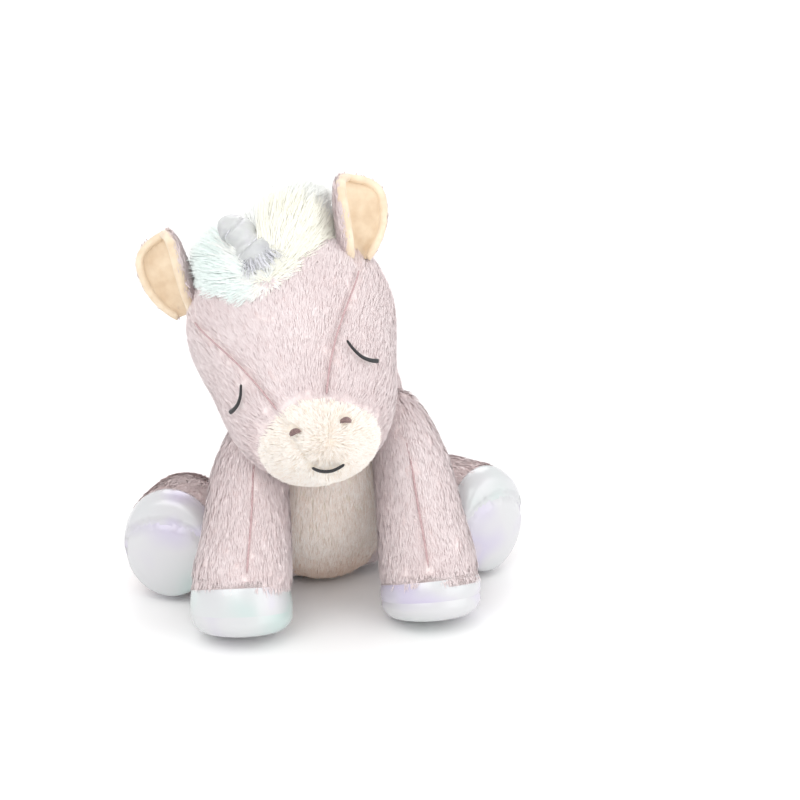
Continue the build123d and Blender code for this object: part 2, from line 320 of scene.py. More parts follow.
def pile_shades(name, colours):
    """One plain material for each shade of a pile: the shade changes from strand to strand
    and from root to tip, so the colour pattern is in the strands themselves."""
    made = []
    for number, colour in enumerate(colours):
        material, principled = shader(f"{name}_{number}", 0.85, Sheen_Weight=0.15)
        principled.inputs["Base Color"].default_value = linear(colour)
        made.append(material)
    return made


def shades(dark, light, count):
    """Colours from dark to light."""
    steps = np.linspace(0, 1, count)[:, None]
    return (np.array(dark) + (np.array(light) - np.array(dark)) * steps).tolist()


SHADE_COUNT = 7
MAUVE = pile_shades("plush", shades((214, 196, 196), (243, 233, 233), SHADE_COUNT))
# A darker copy of the plush, used for the hind legs: painted shade, as they sit low and in shade.
SHADED_MAUVE = pile_shades("plush_deep", shades((208, 186, 185), (240, 228, 227), SHADE_COUNT))
CREAM = pile_shades("cream_plush", shades((232, 208, 184), (254, 252, 248), SHADE_COUNT))
# The tummy's cream pile: its darker tan shades are painted shade, used low on the tummy.
TUMMY_CREAM_AND_SHADE = pile_shades("tummy_cream_and_shade", shades((220, 186, 164), (255, 249, 243), SHADE_COUNT))
MANE = pile_shades("mane_white", shades((240, 243, 238), (254, 255, 253), SHADE_COUNT)) \
    + pile_shades("mane_mint", shades((228, 242, 237), (246, 252, 250), SHADE_COUNT)) \
    + pile_shades("mane_lemon", shades((243, 242, 226), (254, 253, 244), SHADE_COUNT))
MAUVE_BACKING = backing("plush_backing", (226, 208, 207), (238, 226, 225))
CREAM_BACKING = backing("cream_backing", (236, 224, 208), (246, 238, 226))
MANE_BACKING = backing("mane_backing", (226, 232, 226), (238, 240, 234))
PEARL = pearl_cloth("pearl_fabric", 34, 0.5)
PEARL_SOLE = pearl_cloth("pearl_sole", 24, 0.6)
BLACK = thread("black_thread", (10, 10, 12), (30, 30, 35))
BROWN = thread("mauve_thread", (104, 80, 78), (146, 118, 114))
# The seam is real, but the thread's colour, darker than the plush, is painted shade of the parting.
SEAM = thread("seam_thread", (176, 142, 144), (200, 170, 171))
SILVER_THREAD = thread("silver_thread", (214, 214, 222), (246, 246, 250))
SILVER = silver_knit()
LINING = velour("ear_velour", (222, 200, 172), (240, 224, 200))
LABEL_CLOTH = velour("label_cloth", (228, 226, 222), (242, 240, 237))


# ---------------------------------------------------------------- pile
def scattered(skin, per_mm2):
    """Random places on a skin, even by area, with their normals."""
    corners = skin["points"][skin["triangles"]]
    facing = np.cross(corners[:, 1] - corners[:, 0], corners[:, 2] - corners[:, 0])
    area = np.linalg.norm(facing, axis=1) / 2
    count = int(area.sum() * per_mm2)
    chosen = RANDOM.choice(len(area), count, p=area / area.sum())
    u, v = np.sqrt(RANDOM.random(count))[:, None], RANDOM.random(count)[:, None]
    weights = np.stack([1 - u, u * (1 - v), u * v])
    places = (weights * corners[chosen].transpose(1, 0, 2)).sum(0)
    normals = skin["normals"][skin["triangles"][chosen]].transpose(1, 0, 2)
    return places, unit((weights * normals).sum(0))


def tufts(places, normals, nap, per_tuft, spread):
    """Several strands round each place, and how far each stands from the tuft's middle."""
    places, normals, nap = (np.repeat(rows, per_tuft, 0) for rows in (places, normals, nap))
    sideways = np.cross(normals, nap)
    offset = RANDOM.normal(0, spread, (len(places), 2))
    shift = nap * offset[:, :1] + sideways * offset[:, 1:]
    return places, normals, nap, shift


def pile(name, skin, materials, nap, length, keep, per_mm2=2.5, per_tuft=5, spread=0.8,
         width=0.42, lift=(19, 4), shade=None, messy=0.15, gather=0.2):
    """Pile on a skin. nap(places) gives the way it lies, length(places) how long it is and
    keep(places) where it grows; lift is its angle off the skin at the root and at the tip."""
    places, normals = scattered(skin, per_mm2 / per_tuft)
    kept = keep(places)
    places, normals = places[kept], normals[kept]
    lay = flattened(nap(places) + RANDOM.normal(0, messy, places.shape), normals)
    tuft_shade = shade(places) if shade else 0.5 + 0.22 * lumps(places, 22)
    tuft_shade = tuft_shade + RANDOM.normal(0, 0.05, len(places))
    tuft_length = length(places) * RANDOM.uniform(0.85, 1.1, len(places))
    places, normals, lay, shift = tufts(places, normals, lay, per_tuft, spread)
    count = len(places)
    long = np.repeat(tuft_length, per_tuft) * RANDOM.uniform(0.75, 1.1, count)
    tone = np.repeat(tuft_shade, per_tuft) + RANDOM.normal(0, 0.07, count)
    lay = flattened(lay + RANDOM.normal(0, messy * 0.5, places.shape), normals)
    angles = np.radians(lift)
    steps = [(lay * np.cos(a) + normals * np.sin(a)) * (long / 2)[:, None] for a in angles]
    root = places + shift - normals * 0.3
    middle = root + steps[0] - shift * gather * 0.3
    tip = middle + steps[1] - shift * gather * 0.7
    return strand_object(name, (root, middle, tip), normals, width, tone, materials)


def strand_object(name, points, normals, width, tone, materials):
    """Tapered blades: a quad from root to middle and a triangle to the tip."""
    root, middle, tip = points
    count = len(root)
    side = unit(np.cross(tip - root, normals))
    side = unit(side + normals * RANDOM.normal(0, 0.1, (count, 1))) * width / 2
    stack = np.stack([root - side, root + side, middle - side * 0.8, middle + side * 0.8, tip], 1)
    stack[:, :, 2] = np.maximum(stack[:, :, 2], 0.3)
    first = 5 * np.arange(count)[:, None]
    loops = np.hstack([first + [0, 1, 3, 2], first + [2, 3, 4]])
    starts = 7 * np.arange(count)[:, None] + [0, 4]
    family = np.clip(tone // 10, 0, 2).astype(int) * SHADE_COUNT
    base = np.clip((tone % 10) * (SHADE_COUNT - 2), 0, SHADE_COUNT - 2).astype(int) + family
    mesh = bpy.data.meshes.new(name)
    mesh.vertices.add(5 * count)
    mesh.vertices.foreach_set("co", (stack * MM).astype(np.float32).ravel())
    mesh.loops.add(7 * count)
    mesh.loops.foreach_set("vertex_index", loops.astype(np.int32).ravel())
    mesh.polygons.add(2 * count)
    mesh.polygons.foreach_set("loop_start", starts.astype(np.int32).ravel())
    mesh.polygons.foreach_set("use_smooth", np.ones(2 * count, bool))
    mesh.polygons.foreach_set("material_index", np.stack([base, base + 1], 1).astype(np.int32).ravel())
    mesh.update(calc_edges=True)
    for material in materials:
        mesh.materials.append(material)
    lean = unit(np.cross(side, tip - root))
    soft = unit(normals + lean * np.sign(dot(lean, normals)) * 0.08)
    mesh.normals_split_custom_set_from_vertices(np.repeat(soft, 5, 0).tolist())
    made = bpy.data.objects.new(name, mesh)
    bpy.context.scene.collection.objects.link(made)
    return made


# ---------------------------------------------------------------- the head's own frame
HEAD_CENTRE = np.array([-13.0, -19.0, 124.0])
VIEW_AXIS = (-0.187, -0.921, 0.342)
HEAD_TURN = spin(VIEW_AXIS, 15) @ spin((0, 0, 1), -11.5) @ spin((1, 0, 0), 44) @ spin((0, -1, 0), 12)
HEAD_PROFILE = [(43, 0), (40, 18.5), (28, 36), (4, 44.3), (-22, 40), (-47, 33), (-65, 19.5), (-71, 0)]
HEAD_CURVE = through(HEAD_PROFILE, 200, mirrored=(1,))
FACE_ANGLE = 7        # degrees round the egg from its top to the middle of the face


def to_head(points):
    return (points - HEAD_CENTRE) @ HEAD_TURN


def from_head(points):
    return points @ HEAD_TURN.T + HEAD_CENTRE


def egg_radius(y):
    return np.interp(-y, -HEAD_CURVE[:, 0], HEAD_CURVE[:, 1])


def round_egg(local):
    """Degrees round the egg's axis from its top, positive to the right."""
    return np.degrees(np.arctan2(local[:, 0], local[:, 2]))


def on_egg(y, degrees, off=0.0):
    """Points in the row frame on the egg at these heights and angles, off its skin."""
    y, angle = np.broadcast_arrays(np.array(y, float), np.radians(degrees))
    slope = (egg_radius(y + 1) - egg_radius(y - 1)) / 2
    lean = np.sqrt(1 + slope**2)
    radius = egg_radius(y) + off / lean
    local = [radius * np.sin(angle), y - off * slope / lean, radius * np.cos(angle)]
    return from_head(np.stack(local, -1))


def depth_in_head(points):
    local = to_head(points)
    inside = (local[:, 1] > -69) & (local[:, 1] < 41)
    depth = egg_radius(local[:, 1]) - np.hypot(local[:, 0], local[:, 2])
    return np.where(inside, depth, -99)


def muzzle_seam(degrees):
    return -50.5 - 15 * (np.abs((degrees - FACE_ANGLE + 180) % 360 - 180) / 165) ** 0.9


HAIRLINE = [(-60, 32), (-44, 20), (-24, 5), (-10, -4), (2, -3), (15, -2), (29, 7), (40, 13),
            (54, 19), (68, 27)]


def hairline(degrees):
    return np.interp(degrees, *np.array(HAIRLINE, float).T)


def gusset_edge(y):
    """Half angle of the forehead gusset."""
    return np.interp(y, [-50, -38, -27, -14, 5], [19.5, 25.5, 32.5, 42, 56])


def head_seams(local):
    """How far a place on the head is from its nearest seam."""
    angle, radius = round_egg(local), egg_radius(local[:, 1])
    off_gusset = np.abs(np.abs(angle - FACE_ANGLE) - gusset_edge(local[:, 1]))
    off_gusset = np.radians(off_gusset) * radius + 99 * (local[:, 1] > 20)
    off_muzzle = np.abs(local[:, 1] - muzzle_seam(angle))
    return np.minimum(off_gusset, off_muzzle)


MANE_HALF_ANGLE = 68   # degrees either side of the top of the head, in front
MANE_BACK_HALF = 22    # half its width down the back of the head


def in_mane(local):
    angle = round_egg(local)
    front = (local[:, 2] > 0) & (local[:, 1] > hairline(angle)) & (np.abs(angle) < MANE_HALF_ANGLE)
    back = (local[:, 2] <= 0) & (np.abs(local[:, 0]) < MANE_BACK_HALF) & (local[:, 1] > 4)
    return front | back


# ---------------------------------------------------------------- forms
TORSO_LEVELS = [
    (0.6, 0, 8, 0, 0), (1.5, 0, 9, 18, 14), (10, 0, 9, 34, 26), (30, 1, 9, 41.5, 36),
    (55, 3, 8, 41.5, 38), (80, 5, 4, 34.5, 32), (100, 6, -2, 26, 25), (112, 5, -6, 0, 0),
]
TORSO_CURVE = through(TORSO_LEVELS, 90, mirrored=(3, 4))


def torso_skin():
    z, cx, cy, rx, ry = TORSO_CURVE.T
    flat = np.zeros_like(z)
    grid = rings(np.stack([cx, cy, z], 1), np.stack([rx, flat, flat], 1),
                 np.stack([flat, ry, flat], 1), 96)
    skin = closed_skin(grid)
    skin = pushed(skin, 0.8 * lumps(skin["points"], 40))
    return on_floor(skin)


def depth_in_torso(points):
    z, cx, cy, rx, ry = TORSO_CURVE.T
    at = [np.interp(points[:, 2], z, column) for column in (cx, cy, rx, ry)]
    reach = np.hypot((points[:, 0] - at[0]) / np.maximum(at[2], 1),
                     (points[:, 1] - at[1]) / np.maximum(at[3], 1))
    return (1 - reach) * np.minimum(at[2], at[3])


def head_skin():
    y, radius = through(HEAD_PROFILE, 110, mirrored=(1,)).T
    flat = np.zeros_like(y)
    grid = rings(np.stack([flat, y, flat], 1), np.stack([flat, flat, radius], 1),
                 np.stack([radius, flat, flat], 1), 128)
    local = closed_skin(grid)
    groove = -1.6 * np.exp(-(head_seams(local["points"]) / 2.2) ** 2)
    local = pushed(local, groove + 0.7 * lumps(local["points"], 34))
    local["points"] = from_head(local["points"])
    return with_normals(local)


class Limb:
    """A stuffed leg: ellipses along a curved line. A row of stations is the centre, the
    direction of the leg there, and the half widths across and up."""

    def __init__(self, stations, up):
        rows = [[*centre, *direction, *half] for centre, direction, half in stations]
        curve = through(rows, 60, mirrored=(6, 7))
        self.centres, self.half = curve[:, :3], curve[:, 6:]
        self.along = unit(curve[:, 3:6])
        self.up = flattened(np.broadcast_to(np.array(up, float), self.along.shape), self.along)
        self.across = np.cross(self.along, self.up)
        steps = np.linalg.norm(np.diff(self.centres, axis=0), axis=1)
        self.reach = np.concatenate([[0], np.cumsum(steps)])

    def skin(self, around=72):
        grid = rings(self.centres, self.across * self.half[:, :1], self.up * self.half[:, 1:], around)
        return closed_skin(grid)

    def nearest(self, points):
        """The index of the nearest station for each point."""
        gaps = ((points[:, None] - self.centres[None]) ** 2).sum(2)
        return gaps.argmin(1)

    def depth(self, points):
        near = self.nearest(points)
        off = points - self.centres[near]
        reach = np.hypot(dot(off, self.across[near])[:, 0] / np.maximum(self.half[near, 0], 1),
                         dot(off, self.up[near])[:, 0] / np.maximum(self.half[near, 1], 1))
        return (1 - reach) * self.half[near].min(1)


def front_limb(side):
    sign = SIDES[side]
    hoof_x = {"left": -42.5, "right": 39.5}[side]
    top_x = {"left": -26, "right": 31}[side]
    slant = (0.06 * sign, -0.58, -0.8)
    foot = (0.02 * sign, -0.26, -0.96)
    middle_x = (hoof_x + 2 * top_x) / 3 + 2 * sign
    stations = [
        ((top_x, -12, 90), slant, (0, 0)),
        ((top_x, -16, 84), slant, (11, 12)),
        ((middle_x, -28, 66), slant, (15.5, 17)),
        (((middle_x + hoof_x) / 2, -43, 43), slant, (18.5, 18.5)),
        ((hoof_x, -54, 22), (0.04 * sign, -0.4, -0.9), (21, 20.5)),
        ((hoof_x, -58, 9), foot, (21.5, 21.5)),
    ]
    return Limb(stations + [((hoof_x, -59.5, 4), foot, (17, 18)), ((hoof_x, -60.5, 2.5), foot, (0, 0))],
                (0, -0.8, 0.6))


def hind_limb(side):
    sign = SIDES[side]
    splay = np.radians({"left": 24, "right": 34}[side])
    along = np.array([sign * np.sin(splay), -np.cos(splay), 0.02])
    sole = np.array([{"left": -69.5, "right": 77.0}[side], -17.0, 25.5])
    stations = []
    for back, rise, wide, tall in ((58, -1, 0, 0), (52, -1, 13, 14), (36, 0.5, 19, 21.5),
                                   (18, 1, 20.5, 23.5), (6, 1, 21, 24), (0, 0, 18.5, 21.5),
                                   (-2.5, -0.5, 0, 0)):
        stations.append((sole - along * back + np.array([0, 0, rise]), along, (wide, tall)))
    return Limb(stations, (0, 0, 1))


LIMBS = {}
for side_name in SIDES:
    LIMBS[f"front_leg_{side_name}"] = front_limb(side_name)
    LIMBS[f"hind_leg_{side_name}"] = hind_limb(side_name)


# ---------------------------------------------------------------- torso and neck
TUMMY = {"x": 4.0, "z": 38.0, "half": (25.0, 40.0)}


def in_tummy(points):
    """Below 1 inside the front panel's outline, which is sewn in down to the seat."""
    across = (points[:, 0] - TUMMY["x"]) / TUMMY["half"][0]
    height = (points[:, 2] - TUMMY["z"]) / TUMMY["half"][1]
    return np.hypot(across, height) + 9 * (points[:, 1] > 4)


def exposed(points, names=()):
    """True where pile isn't buried in the head or in a leg."""
    free = depth_in_head(points) < 5
    for name in names:
        free &= LIMBS[name].depth(points) < 5
    return free


def downward(points):
    way = np.zeros_like(points)
    way[:, 2] = -1
    return way


def bend_at_neck(made):
    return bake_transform(made)


def make_torso():
    skin = torso_skin()
    edge = np.exp(-((in_tummy(skin["points"]) - 1) * 25 / 2.5) ** 2)
    skin = pushed(skin, -1.2 * edge)
    front = in_tummy(skin["points"]) < 1
    made = skin_object("torso_skin", split_skin(skin, front, rest=True), MAUVE_BACKING)
    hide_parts("torso_cover_left", "torso_cover_right", "torso_stuffing", "bean_pouch",
                "neck_cover", "neck_stuffing", "tail_tab")
    finish_piece(made, bend_at_neck)
    made = skin_object("tummy_skin", split_skin(skin, front), CREAM_BACKING)
    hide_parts("tummy_panel")
    finish_piece(made, bend_at_neck)

    def length(points):
        return 5.5 - 1.5 * np.exp(-((in_tummy(points) - 1) * 25 / 3) ** 2)

    def on_back(points):
        return (in_tummy(points) >= 1) & exposed(points, LIMBS) & (points[:, 2] > 1.5)

    def on_tummy(points):
        return (in_tummy(points) < 1) & exposed(points, LIMBS)

    # Painted shade: the tummy's pile darkens towards the floor, where the tummy curves under; lumps add
    # random tone.
    def tummy_painted_shade(points):
        return 0.25 + 0.7 * ease((points[:, 2] - 3) / 24) + 0.06 * lumps(points, 20)

    finish_piece(pile("torso_pile", skin, MAUVE, downward, length, on_back, 2.1),
                 fixing=bend_at_neck)
    finish_piece(pile("tummy_pile", skin, TUMMY_CREAM_AND_SHADE, downward, length, on_tummy, 2.8,
                      shade=tummy_painted_shade, messy=0.1), fixing=bend_at_neck)


def finish_piece(made, fixing=None):
    """Runs the piece's fixing on it, if it has one, such as fixing it to its body."""
    if fixing:
        fixing(made)
    return made


def riding(body):
    return lambda made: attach(made, body)


# ---------------------------------------------------------------- head
EYES = {"left": [(-34.5, -27), (-38, -31), (-40, -36), (-40.5, -42), (-40, -48)],
        "right": [(-29.5, 44), (-33, 47.5), (-36, 53), (-37, 60), (-36.5, 67)]}


def stitch_lines():
    """The middle line of each face stitch, as heights and angles round the egg."""
    lines = {}
    for side, sign in SIDES.items():
        y, angle = through(EYES[side], 30).T
        lines[f"eye_{side}"] = (y, angle, np.linspace(0.6, 1.05, 30))
        short = np.linspace(-1, 1, 10)
        lines[f"nostril_{side}"] = (-59.7 + 0.9 * (1 - short**2), 17 + sign * 23 + 5.5 * short,
                                    1.3 * np.sqrt(np.maximum(1.02 - short**2, 0)))
    return lines


def smile_points(off):
    """The smile runs across the tip of the nose, so it is placed by the head's own axes."""
    bow = np.linspace(-1, 1, 26)
    keys = through([(-3.4, 12.2), (-0.8, 8.6), (3.2, 6.2), (9, 5.8)], 26)
    reach = np.hypot(keys[:, 0], keys[:, 1])
    curve = HEAD_CURVE[HEAD_CURVE[:, 0] < -40]
    y = np.interp(reach, curve[::-1, 1], curve[::-1, 0])
    local = np.stack([keys[:, 0], y - off, keys[:, 1]], 1)
    return from_head(local), 0.9 - 0.2 * bow**2


def tube_object(name, line, radii, normals, material, around=8):
    """A tube along a line, flattened on the surface that it lies on."""
    along = unit(np.gradient(line, axis=0))
    across = np.cross(along, normals)
    radii = np.array(radii)[:, None]
    radii[[0, -1]] = 0
    grid = rings(line, across * radii, normals * radii * 0.8, around)
    return skin_object(name, closed_skin(grid), material)


def surface_normals(line_low, line_high):
    return unit(line_high - line_low)


STITCH_LIFT = 2.4     # the stitches press the pile down but lie well above the backing


def make_stitches():
    """Satin stitches as raised threads. Returns their points, where the pile is parted."""
    parted = []
    for name, (y, angle, radii) in stitch_lines().items():
        low, line = on_egg(y, angle), on_egg(y, angle, STITCH_LIFT)
        material, slot = (BLACK, "black_thread") if name.startswith("eye") else (BROWN, "mauve_thread")
        made = tube_object(name + "_stitch", line, radii, surface_normals(low, line), material)
        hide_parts(name)
        finish_piece(made, fixing=riding("head"))
        parted.append(np.hstack([low, np.broadcast_to(radii, (len(low),))[:, None]]))
    low, radii = smile_points(0)
    line, _ = smile_points(STITCH_LIFT)
    made = tube_object("smile_stitch", line, radii, surface_normals(low, line), BLACK)
    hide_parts("smile")
    finish_piece(made, fixing=riding("head"))
    parted.append(np.hstack([low, radii[:, None]]))
    return np.vstack(parted)


def seam_object(name, low, high, fixing):
    """A sewn seam where the pile parts: a thread just above the backing. Its colour, darker than the
    pile, is painted shade of the parted seam.
    """
    made = tube_object(name, low * 0.5 + high * 0.5, np.full(len(low), 0.42),
                       surface_normals(low, high), SEAM)
    finish_piece(made, fixing=fixing)
    return np.hstack([low, np.full((len(low), 1), 0.05)])


def make_head_seams():
    """The two seams of the forehead gusset, from the muzzle up to the mane."""
    y = np.linspace(-50, 3, 60)
    seams = []
    for side, sign in SIDES.items():
        angle = FACE_ANGLE + sign * gusset_edge(y)
        low, high = on_egg(y, angle, -1.2), on_egg(y, angle, 1.8)
        seams.append(seam_object(f"forehead_seam_{side}", low, high, riding("head")))
    return np.vstack(seams)


def clear_of(places, stitches, way, pile_length):
    """True where a strand that lies this way doesn't cross a stitch."""
    clear = np.ones(len(places), bool)
    for x, y, z, radius in stitches:
        off = np.array([x, y, z]) - places
        along = np.clip(dot(off, way)[:, 0], 0, pile_length)
        gap = np.linalg.norm(off - way * along[:, None], axis=1)
        clear &= gap > radius + 0.9
    return clear


def make_head():
    skin = head_skin()
    local = to_head(skin["points"])
    nose = local[:, 1] < muzzle_seam(round_egg(local))
    made = skin_object("head_skin", split_skin(skin, nose, rest=True), MAUVE_BACKING)
    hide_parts("forehead_panel", "cheek_left", "cheek_right", "head_back_panel",
                "head_stuffing")
    finish_piece(made, riding("head"))
    made = skin_object("muzzle_skin", split_skin(skin, nose), CREAM_BACKING)
    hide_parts("muzzle_panel", "muzzle_magnet")
    finish_piece(made, riding("head"))
    make_face_pile(skin, np.vstack([make_stitches(), make_head_seams()]))
    make_mane(skin)


def make_face_pile(skin, stitches):
    """Short pile on the head and the muzzle, parted at the stitches and the seams."""
    crown_way = HEAD_TURN[:, 1]

    def nap(points):
        local = to_head(points)
        outward = np.stack([local[:, 0] * 0.012, np.ones(len(local)), 0 * local[:, 0]], 1)
        return outward @ HEAD_TURN.T

    def muzzle_nap(points):
        return unit(points - from_head(np.array([6.0, -60.0, 14.0])))

    def is_muzzle(points):
        local = to_head(points)
        return local[:, 1] < muzzle_seam(round_egg(local))

    def in_open(points):
        local = to_head(points)
        return (depth_in_torso(points) < 6) & ~in_mane(local)

    def face_length(points):
        seam = np.exp(-(head_seams(to_head(points)) / 3.5) ** 2)
        return 5.6 * (1 - 0.5 * seam)

    def on_head(points):
        return ~is_muzzle(points) & in_open(points) & clear_of(points, stitches, crown_way, 6)

    def on_muzzle(points):
        return is_muzzle(points) & in_open(points) & clear_of(points, stitches, crown_way, 4)

    def face_shade(points):
        # Darker along the forehead and muzzle seams: painted shade in the parting of the pile.
        seam = np.exp(-(head_seams(to_head(points)) / 2.6) ** 2)
        return 0.62 + 0.2 * lumps(points, 20) - 0.3 * seam

    def muzzle_shade(points):
        return 0.86 + 0.08 * lumps(points, 14)

    finish_piece(pile("head_pile", skin, MAUVE, nap, face_length, on_head, 2.9,
                      shade=face_shade), fixing=riding("head"))
    finish_piece(pile("muzzle_pile", skin, CREAM, muzzle_nap, lambda p: np.full(len(p), 3.6), on_muzzle,
                      5.5, spread=0.7, lift=(30, 10), shade=muzzle_shade),
                 fixing=riding("head"))


HORN_BASE = np.array([4.0, 11.5, 40.5])
HORN_ALONG = unit(np.array([-0.2, 0.9, 0.37]))


def mane_skin(skin):
    """The head's skin raised under the mane, most over the right of the crown."""
    local = to_head(skin["points"])
    angle = round_egg(local)
    from_line = (local[:, 1] - hairline(angle)) / 16
    from_side = (MANE_HALF_ANGLE - np.abs(angle)) / 20
    front = ease(from_line) * ease(from_side)
    back = ease((MANE_BACK_HALF - np.abs(local[:, 0])) / 9) * ease((local[:, 1] - 4) / 12)
    sweep = ease((local[:, 0] + 2) / 24) * ease((local[:, 1] - 8) / 14)
    height = np.where(local[:, 2] > 0, front * (3 + 6 * sweep), back * 3)
    raised = pushed({**skin, "points": skin["points"].copy()}, height)
    return with_normals(split_skin(raised, in_mane(local)))


def make_mane(skin):
    """Long pile from the forehead over the crown and down the back of the head."""
    skin = mane_skin(skin)
    made = skin_object("mane_base", skin, MANE_BACKING)
    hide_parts("mane_front", "mane_back")
    finish_piece(made, riding("head"))

    def nap(points):
        local = to_head(points)
        away = local - (HORN_BASE - 6 * HORN_ALONG)
        away[:, 1] += np.where(local[:, 2] > 0, 4.0, 14.0)
        away[:, 2] -= np.where(local[:, 2] > 0, 0.0, 30.0)
        return unit(away) @ HEAD_TURN.T

    def length(points):
        local = to_head(points)
        from_edge = ease((local[:, 1] - hairline(round_egg(local))) / 30)
        sweep = 3 * ease((local[:, 0] + 2) / 24) * ease((local[:, 1] - 8) / 14)
        return 6 + (14 + sweep) * np.where(local[:, 2] > 0, from_edge, 0.75)

    ears = [np.array(EAR_PLACES[side][0]) for side in SIDES]

    def keep(points):
        local = to_head(points)
        beside = np.min([np.linalg.norm(local - ear, axis=1) for ear in ears], axis=0)
        off = local - HORN_BASE
        off = off - HORN_ALONG * dot(off, HORN_ALONG[None])
        clear = (np.linalg.norm(off, axis=1) > 5.5) | (local[:, 2] < 20)
        return in_mane(local) & clear & (beside > 9) & (depth_in_torso(points) < 6)

    def shade(points):
        local = to_head(points)
        side = local[:, 0] + 0.2 * local[:, 1] + 4 * lumps(points, 30)
        side = side + RANDOM.normal(0, 3.5, len(points))
        family = np.where(side < 3, 10.0, np.where(side > 12, 20.0, 0.0))
        family = np.where(local[:, 1] > 26, 0.0, family)
        return family + np.clip(0.66 + 0.14 * lumps(points, 12), 0.2, 0.95)

    made = pile("mane_pile", skin, MANE, nap, length, keep, 5.0, per_tuft=6, spread=0.9,
                width=0.42, lift=(24, 7), shade=shade, messy=0.1, gather=0.15)
    finish_piece(made, fixing=riding("head"))


# ---------------------------------------------------------------- horn
HORN_PROFILE = [(-4, 0), (-3, 8.6), (2, 9.2), (7, 8.9), (11.5, 6.3), (14, 6.6), (18, 7.2),
                (22.5, 5.4), (25.2, 0)]


WINDING_PITCH = 10.5   # how far the thread climbs in one turn
HORN_BEND = -0.006      # the horn leans over to the left towards its tip


def horn_frame():
    side = flattened(np.array([[1.0, 0, 0]]), HORN_ALONG[None])[0]
    return side, np.cross(HORN_ALONG, side)


def make_horn():
    """Silver cloth over stuffing, pinched by a thread that winds up it."""
    height, radius = through(HORN_PROFILE, 60, mirrored=(1,)).T
    side, up = horn_frame()
    bend = HORN_BEND * np.maximum(height, 0) ** 2
    centres = HORN_BASE + HORN_ALONG * height[:, None] + side * bend[:, None]
    local = closed_skin(rings(centres, side * radius[:, None], up * radius[:, None], 64))
    off = local["points"] - HORN_BASE
    turn = np.arctan2(off @ up, off @ side)
    climb = off @ HORN_ALONG
    groove = np.exp(-((np.sin((climb / WINDING_PITCH * 2 * np.pi - turn) / 2)) / 0.16) ** 2)
    crumple = 0.35 * lumps(local["points"], 4)
    local = pushed(local, -1.1 * groove * (climb > 3) + crumple)
    local["points"] = from_head(local["points"])
    made = skin_object("horn_skin", with_normals(local), SILVER)
    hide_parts("horn_cover", "horn_stuffing")
    finish_piece(made, riding("head"))
    make_horn_thread(side, up)
    make_horn_fringe(side, up)


def horn_radius(climb):
    return np.interp(climb, *np.array(HORN_PROFILE).T)


def make_horn_thread(side, up):
    turn = np.linspace(0.7, 4.4, 120) * np.pi
    climb = turn / (2 * np.pi) * WINDING_PITCH
    radius = horn_radius(climb) - 0.85
    bend = HORN_BEND * climb**2
    around = side * np.cos(turn)[:, None] + up * np.sin(turn)[:, None]
    line = HORN_BASE + HORN_ALONG * climb[:, None] + side * bend[:, None] + around * radius[:, None]
    made = tube_object("horn_winding", from_head(line), np.full(120, 0.32),
                       around @ HEAD_TURN.T, SILVER_THREAD, 6)
    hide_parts("horn_thread")
    finish_piece(made, fixing=riding("head"))


def make_horn_fringe(side, up):
    """The cover's raw edge, which frays out over the mane."""
    count = 500
    turn = RANDOM.uniform(0, 2 * np.pi, count)[:, None]
    outward = side * np.cos(turn) + up * np.sin(turn)
    root = HORN_BASE + outward * 8.2 + HORN_ALONG * RANDOM.uniform(-1, 4, (count, 1))
    flare = outward * RANDOM.uniform(1.5, 4.5, (count, 1))
    flare = flare - HORN_ALONG * RANDOM.uniform(1, 5, (count, 1))
    flare = flare + RANDOM.normal(0, 0.6, (count, 3))
    points = [from_head(p) for p in (root, root + flare * 0.6 + outward * 0.8, root + flare * 1.3)]
    tone = RANDOM.uniform(0.3, 1, count)
    made = strand_object("horn_fringe", points, outward @ HEAD_TURN.T, 0.4, tone,
                         [SILVER_THREAD] * SHADE_COUNT)
    finish_piece(made, fixing=riding("head"))


# ---------------------------------------------------------------- ears
EAR_LENGTH = 35.5
EAR_SHAPE = [(0, 8), (0.1, 11), (0.3, 14.5), (0.52, 16), (0.75, 15), (0.92, 10), (1, 0)]
EAR_PLACES = {
    "left": ((-36.5, 17.5, 13), (-0.01, 0.87, 0.49), (-0.49, -0.37, 0.81)),
    "right": ((35, 12.5, 15), (0.27, 0.91, 0.28), (0.72, -0.49, 0.49)),
}


def ear_sheet(side, off):
    """A cupped leaf as a grid of points, off its middle surface by so much."""
    base, along, facing = (np.array(row, float) for row in EAR_PLACES[side])
    along = unit(along)
    facing = flattened(facing[None], along[None])[0]
    across = np.cross(along, facing)
    reach, half = through(EAR_SHAPE, 36).T
    half = np.maximum(half, 0.05)
    w = np.linspace(-1, 1, 31)
    curl = np.radians(105 - 25 * ease(reach))[:, None]
    radius = half[:, None] / curl * 1.12
    turn = w[None] * curl
    depth = (1 - np.cos(turn)) * radius
    grid = base + along * (reach * EAR_LENGTH)[:, None, None]
    grid = grid + across * (np.sin(turn) * (radius - off))[:, :, None]
    return grid + facing * (depth + off * np.cos(turn))[:, :, None]


def ear_rim(side):
    """The lining turns over the edge of the ear as a soft roll."""
    sheet = ear_sheet(side, 0.4)
    line = from_head(np.vstack([sheet[:-1, 0], sheet[-1:, 15], sheet[:-1, -1][::-1]]))
    smooth = np.array([line[max(0, i - 1):i + 2].mean(0) for i in range(len(line))])
    middle = from_head(sheet[:, 15])
    outward = unit(smooth - middle.mean(0))
    return tube_object(f"ear_{side}_rim", smooth, np.full(len(smooth), 2.3), outward, LINING, 12)


